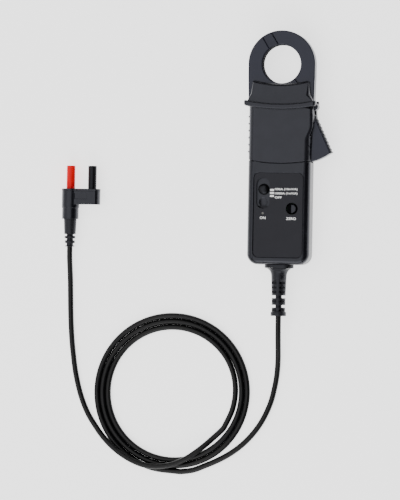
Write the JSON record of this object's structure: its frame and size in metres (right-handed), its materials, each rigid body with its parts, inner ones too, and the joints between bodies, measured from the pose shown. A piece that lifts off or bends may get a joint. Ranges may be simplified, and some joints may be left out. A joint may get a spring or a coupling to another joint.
{
  "type": "clamp-on current probe",
  "caption": "Hand-held clamp current probe with a lever jaw, slide switch and zero knob, a cord in a loose coil and a twin safety plug.",
  "frame": {"origin": "on the table under the middle of the probe, without its strain relief, cord and plug", "axes": "+Y from the cord end to the jaws, +Z out of the control panel, +X towards the trigger; the back lies on Z = 0"},
  "size_m": [0.2372, 0.3838, 0.028],
  "materials": {
    "handle_plastic": "fine matt texture, dark grey",
    "grip_plastic": "fine matt texture, dark grey",
    "jaw_plastic": "satin, dark blue-grey",
    "foil": "fine grain foil with white print",
    "trigger_rubber": "ribbed",
    "switch_black": "satin black",
    "lamp": "diffuse, unlit",
    "cord_black": "satin black sheath",
    "relief_black": "matt black",
    "plug_black": "satin black",
    "sleeve_red": "satin red",
    "sleeve_black": "satin black",
    "contact_metal": "nickel plated",
    "core_alloy": "soft magnetic alloy",
    "steel": "bright",
    "board": "solder mask",
    "component": "moulded",
    "battery_case": "plain sleeve",
    "lead_insulation": "insulated wire"
  },
  "bodies": {
    "handle": {"rear_shell": "handle_plastic", "front_shell": "grip_plastic", "control_cover": "handle_plastic", "panel_foil": "foil", "fixed_jaw_front": "jaw_plastic", "fixed_jaw_back": "jaw_plastic", "sensor_tip": "jaw_plastic", "fixed_core": "core_alloy", "hall_sensor": "component", "jaw_pin": "steel", "jaw_spring": "steel", "circuit_board": "board", "range_switch": "component", "zero_control": "component", "power_lamp": "lamp", "battery": "battery_case", "battery_snap": "relief_black", "signal_leads": "lead_insulation", "case_screws": "steel", "strain_relief": "relief_black", "cord_probe_run": "cord_black", "cord_coil": "cord_black", "cord_plug_run": "cord_black", "plug_boot": "relief_black", "plug_housing": "plug_black", "plug_face": "plug_black", "red_sleeve": "sleeve_red", "black_sleeve": "sleeve_black", "red_contact": "contact_metal", "black_contact": "contact_metal"},
    "lever": {"lever_front": "jaw_plastic", "lever_back": "jaw_plastic", "moving_core": "core_alloy", "trigger_pad": "trigger_rubber"},
    "slider": {"switch_slider": "switch_black"},
    "zero": {"zero_knob": "switch_black"},
    "door": {"battery_door": "handle_plastic"}
  },
  "joints": [
    {"name": "jaw_hinge", "type": "hinge", "parent": "handle", "child": "lever", "pos_m": [0.0102, 0.03035, 0.0125], "axis": [0, 0, -1], "range_deg": [0, 28], "stiffness_Nm_per_rad": 0.4, "springref_deg": -25.78},
    {"name": "range_slide", "type": "slide", "parent": "handle", "child": "slider", "axis": [0, -1, 0], "range_m": [0, 0.0049]},
    {"name": "zero_turn", "type": "hinge", "parent": "handle", "child": "zero", "pos_m": [0.005, -0.05245, 0.02], "axis": [0, 0, 1], "range_deg": [-135, 135]},
    {"name": "door_slide", "type": "slide", "parent": "handle", "child": "door", "axis": [0, -1, 0], "range_m": [0, 0.04]}
  ]
}
